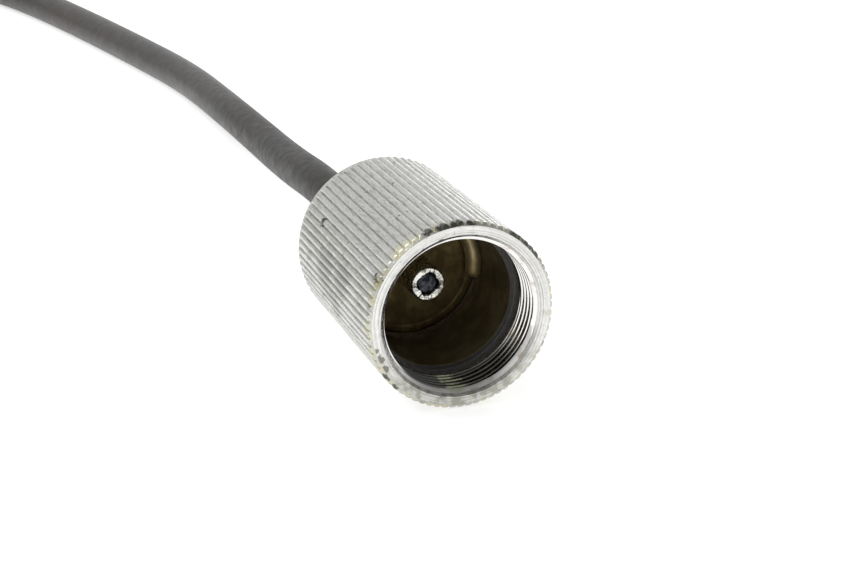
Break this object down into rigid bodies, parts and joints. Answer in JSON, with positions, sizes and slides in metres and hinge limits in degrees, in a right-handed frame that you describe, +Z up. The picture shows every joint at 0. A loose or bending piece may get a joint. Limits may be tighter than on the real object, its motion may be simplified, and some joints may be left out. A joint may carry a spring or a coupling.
{
  "type": "cable shutter release",
  "caption": "Flexible camera release: knurled bell nut with fine thread and push pin, sheathed cable, and thumb plunger with a turning lock collar.",
  "frame": {"origin": "centre of the coupling nut's mouth, in the plane of its front rim", "axes": "+Y from the mouth into the nut along its axis, +Z up from the surface that the release lies on, +X to the right seen from the mouth"},
  "size_m": [0.0689, 0.1715, 0.0171],
  "materials": {
    "nickel": "dull nickel plate, knurled",
    "brass_dark": "tarnished brass",
    "clip_wire": "brown spring wire",
    "fibre": "vulcanised fibre",
    "bright_plate": "bright plated tube",
    "pin_steel": "dark steel",
    "sheath": "matte grey vinyl",
    "conduit_steel": "wound flat wire",
    "wire_steel": "stranded wire",
    "relief_rubber": "moulded black",
    "handle_nickel": "satin nickel plate",
    "spring_steel": "spring wire",
    "bush_brass": "turned brass",
    "rod_steel": "ground steel",
    "screw_steel": "blued steel"
  },
  "bodies": {
    "root": {"end_ferrule": "brass_dark", "friction_washer": "fibre", "nose_tube": "bright_plate", "nut_sleeve": "handle_nickel", "cable_sheath_lead": "sheath", "cable_sheath_coil": "sheath", "wound_conduit": "conduit_steel", "release_wire": "wire_steel", "strain_relief": "relief_rubber", "barrel_end_cap": "handle_nickel", "handle_barrel": "handle_nickel", "grub_screws": "screw_steel", "finger_flange": "handle_nickel", "spring_seat": "bush_brass", "return_spring": "spring_steel", "guide_bush": "bush_brass", "collar_circlip": "screw_steel"},
    "nut": {"coupling_nut": "nickel", "retaining_ring": "clip_wire"},
    "pin": {"release_pin": "pin_steel"},
    "plunger": {"plunger_rod": "rod_steel", "spring_collar": "bush_brass", "thumb_button": "handle_nickel", "button_screw": "screw_steel"},
    "lock": {"lock_collar": "nickel"},
    "ball": {"lock_ball": "rod_steel"}
  },
  "joints": [
    {"name": "nut_spin", "type": "hinge", "parent": "root", "child": "nut", "pos_m": [0, 0.009, 0], "axis": [0, 1, 0], "continuous": true},
    {"name": "plunger_push", "type": "slide", "parent": "root", "child": "plunger", "axis": [0, 1, 0], "range_m": [0, 0.0075], "stiffness_N_per_m": 150, "springref_m": -0.004, "deforming": ["return_spring"]},
    {"name": "pin_push", "type": "slide", "parent": "root", "child": "pin", "axis": [0, -1, 0], "range_m": [0, 0.0075]},
    {"name": "lock_turn", "type": "hinge", "parent": "root", "child": "lock", "pos_m": [-0.0532, 0.0911, 0.00125], "axis": [0, -1, 0], "range_deg": [0, 90]},
    {"name": "ball_press", "type": "slide", "parent": "root", "child": "ball", "axis": [0, 0, -1], "range_m": [0, 0.00025]}
  ],
  "couplings": [
    {"joint": "pin_push", "follows": "plunger_push", "ratio": 1},
    {"joint": "ball_press", "follows": "lock_turn", "m_per_rad": 0.000159}
  ]
}
